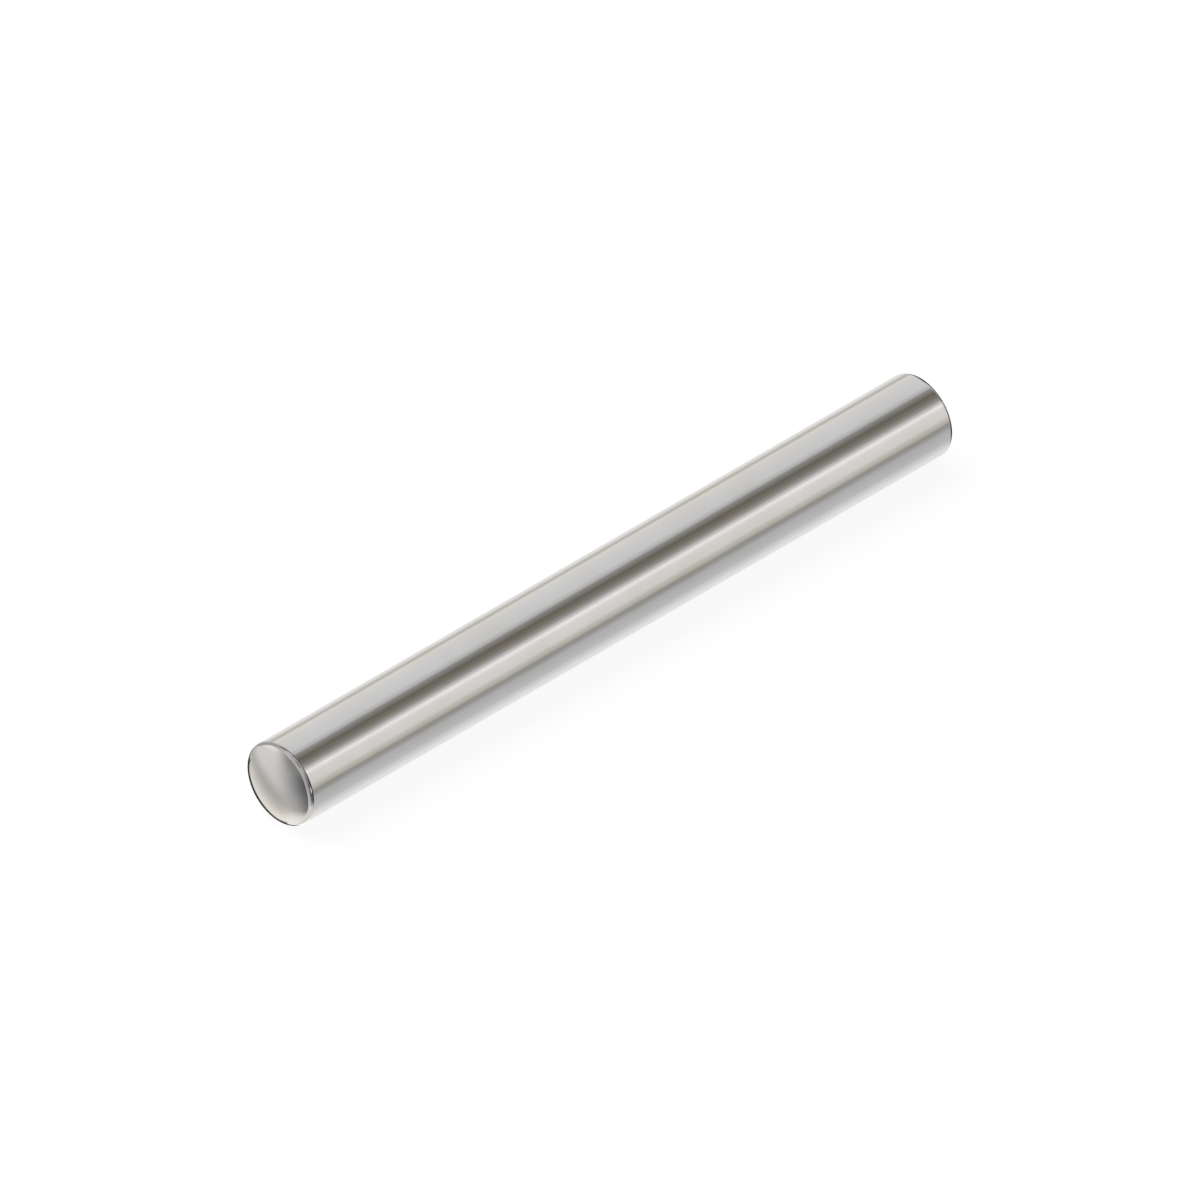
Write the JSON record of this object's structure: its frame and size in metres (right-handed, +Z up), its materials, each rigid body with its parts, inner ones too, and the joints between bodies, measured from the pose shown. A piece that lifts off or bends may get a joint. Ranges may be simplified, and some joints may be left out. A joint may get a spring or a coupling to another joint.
{
  "type": "dowel pin",
  "caption": "Straight round steel dowel pin, ground smooth, with a shallow crown and a small rounded rim at each end.",
  "frame": {"origin": "centre of the pin, on its axis and half way along its length", "axes": "+X along the pin towards the end that is hidden in the picture, +Z up; the pin is round, so Y and Z are alike"},
  "size_m": [0.06, 0.006, 0.006],
  "materials": {
    "ground_steel": "hardened steel, ground and polished, very fine lines round the barrel"
  },
  "bodies": {
    "root": {"dowel_pin": "ground_steel"}
  },
  "joints": []
}
